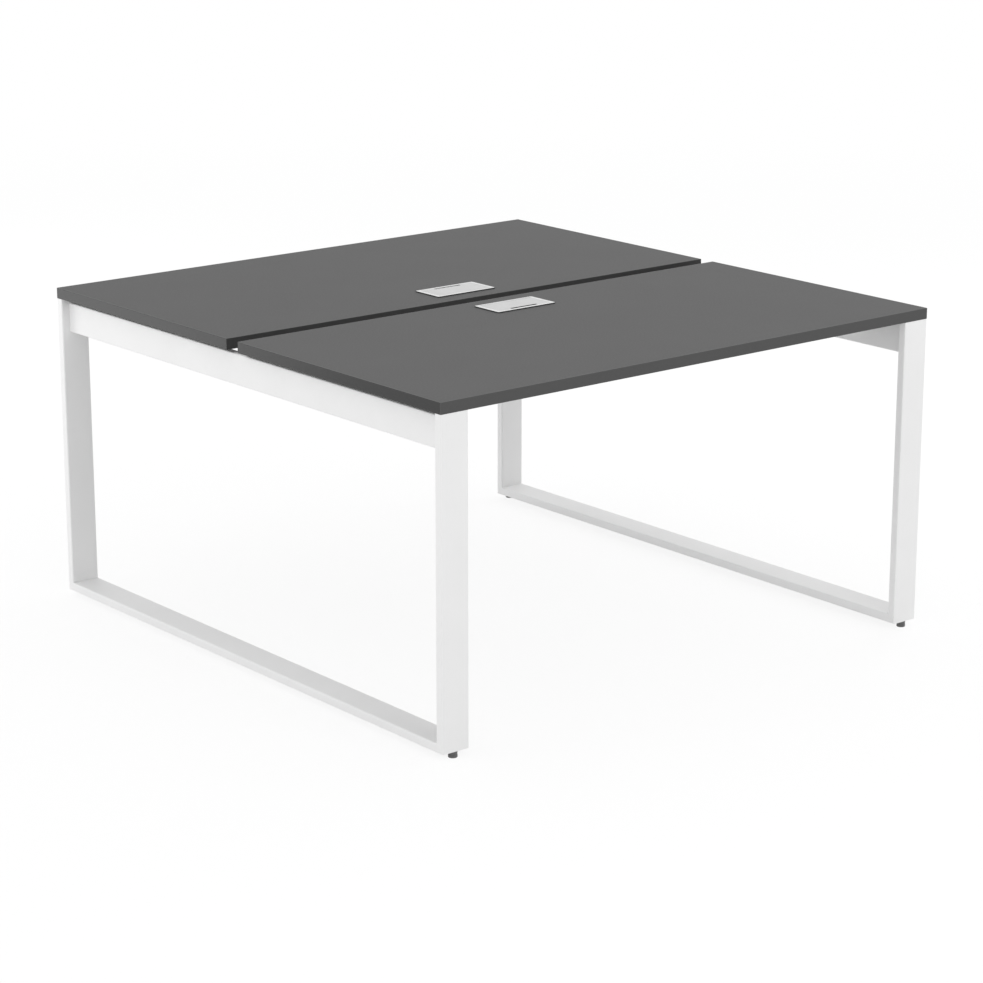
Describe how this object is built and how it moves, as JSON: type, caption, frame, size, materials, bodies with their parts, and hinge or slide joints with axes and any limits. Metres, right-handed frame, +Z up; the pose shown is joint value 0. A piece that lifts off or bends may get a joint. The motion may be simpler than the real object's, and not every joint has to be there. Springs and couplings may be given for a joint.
{
  "type": "office workstation desk",
  "caption": "Double-sided office bench desk: grey laminated worktops either side of a cable gap, white tube end frames, hinged cable ports in the tops and screw-out levelling feet.",
  "frame": {"origin": "on the floor, under the middle of the desk", "axes": "+X along the desk, +Y from the front place to the rear place, +Z up"},
  "size_m": [1.4, 1.44, 0.7527],
  "materials": {
    "worktop_laminate": "dark grey laminate on chipboard, fine matt grain",
    "edging_plastic": "dark grey plastic edging, satin",
    "white_powder_coat": "white fine-texture powder coat",
    "port_metal": "light silver satin coat",
    "zinc_steel": "bright zinc plate",
    "foot_plastic": "dark grey moulded plastic",
    "cap_plastic": "pale grey moulded plastic",
    "bumper_rubber": "soft black rubber"
  },
  "bodies": {
    "desk": {"beam_bolts": "zinc_steel", "beam_nuts": "zinc_steel", "desktop_screws": "zinc_steel", "desktop_tabs": "white_powder_coat", "foot_nuts": "zinc_steel", "front_desktop": "worktop_laminate", "front_desktop_gap_edging": "edging_plastic", "front_desktop_left_edging": "edging_plastic", "front_desktop_right_edging": "edging_plastic", "front_desktop_user_edging": "edging_plastic", "front_inner_beam": "white_powder_coat", "front_inner_beam_left_plate": "white_powder_coat", "front_inner_beam_right_plate": "white_powder_coat", "front_outer_beam": "white_powder_coat", "front_outer_beam_left_plate": "white_powder_coat", "front_outer_beam_right_plate": "white_powder_coat", "front_port_frame": "port_metal", "front_port_hinge_pin": "zinc_steel", "front_port_screws": "zinc_steel", "left_floor_rail": "white_powder_coat", "left_front_post": "white_powder_coat", "left_rear_post": "white_powder_coat", "left_top_rail": "white_powder_coat", "post_caps": "cap_plastic", "rear_desktop": "worktop_laminate", "rear_desktop_gap_edging": "edging_plastic", "rear_desktop_left_edging": "edging_plastic", "rear_desktop_right_edging": "edging_plastic", "rear_desktop_user_edging": "edging_plastic", "rear_inner_beam": "white_powder_coat", "rear_inner_beam_left_plate": "white_powder_coat", "rear_inner_beam_right_plate": "white_powder_coat", "rear_outer_beam": "white_powder_coat", "rear_outer_beam_left_plate": "white_powder_coat", "rear_outer_beam_right_plate": "white_powder_coat", "rear_port_frame": "port_metal", "rear_port_hinge_pin": "zinc_steel", "rear_port_screws": "zinc_steel", "right_floor_rail": "white_powder_coat", "right_front_post": "white_powder_coat", "right_rear_post": "white_powder_coat", "right_top_rail": "white_powder_coat"},
    "front_lid": {"front_port_lid": "port_metal", "front_port_lid_bumpers": "bumper_rubber"},
    "rear_lid": {"rear_port_lid": "port_metal", "rear_port_lid_bumpers": "bumper_rubber"},
    "front_left_foot": {"front_left_foot_pad": "foot_plastic"},
    "front_left_stud": {"front_left_foot_stud": "zinc_steel"},
    "front_right_foot": {"front_right_foot_pad": "foot_plastic"},
    "front_right_stud": {"front_right_foot_stud": "zinc_steel"},
    "rear_left_foot": {"rear_left_foot_pad": "foot_plastic"},
    "rear_left_stud": {"rear_left_foot_stud": "zinc_steel"},
    "rear_right_foot": {"rear_right_foot_pad": "foot_plastic"},
    "rear_right_stud": {"rear_right_foot_stud": "zinc_steel"}
  },
  "joints": [
    {"name": "front_lid_hinge", "type": "hinge", "parent": "desk", "child": "front_lid", "pos_m": [0, -0.0743, 0.7502], "axis": [-1, 0, 0], "range_deg": [0, 100]},
    {"name": "rear_lid_hinge", "type": "hinge", "parent": "desk", "child": "rear_lid", "pos_m": [0, 0.0743, 0.7502], "axis": [1, 0, 0], "range_deg": [0, 100]},
    {"name": "front_left_foot_travel", "type": "slide", "parent": "desk", "child": "front_left_foot", "axis": [0, 0, -1], "range_m": [0, 0.015]},
    {"name": "front_left_stud_turn", "type": "hinge", "parent": "front_left_foot", "child": "front_left_stud", "pos_m": [-0.665, -0.71, 0], "axis": [0, 0, -1], "range_deg": [0, 4320]},
    {"name": "front_right_foot_travel", "type": "slide", "parent": "desk", "child": "front_right_foot", "axis": [0, 0, -1], "range_m": [0, 0.015]},
    {"name": "front_right_stud_turn", "type": "hinge", "parent": "front_right_foot", "child": "front_right_stud", "pos_m": [0.665, -0.71, 0], "axis": [0, 0, -1], "range_deg": [0, 4320]},
    {"name": "rear_left_foot_travel", "type": "slide", "parent": "desk", "child": "rear_left_foot", "axis": [0, 0, -1], "range_m": [0, 0.015]},
    {"name": "rear_left_stud_turn", "type": "hinge", "parent": "rear_left_foot", "child": "rear_left_stud", "pos_m": [-0.665, 0.71, 0], "axis": [0, 0, -1], "range_deg": [0, 4320]},
    {"name": "rear_right_foot_travel", "type": "slide", "parent": "desk", "child": "rear_right_foot", "axis": [0, 0, -1], "range_m": [0, 0.015]},
    {"name": "rear_right_stud_turn", "type": "hinge", "parent": "rear_right_foot", "child": "rear_right_stud", "pos_m": [0.665, 0.71, 0], "axis": [0, 0, -1], "range_deg": [0, 4320]}
  ],
  "couplings": [
    {"joint": "front_left_foot_travel", "follows": "front_left_stud_turn", "m_per_rad": 0.00019894},
    {"joint": "front_right_foot_travel", "follows": "front_right_stud_turn", "m_per_rad": 0.00019894},
    {"joint": "rear_left_foot_travel", "follows": "rear_left_stud_turn", "m_per_rad": 0.00019894},
    {"joint": "rear_right_foot_travel", "follows": "rear_right_stud_turn", "m_per_rad": 0.00019894}
  ]
}
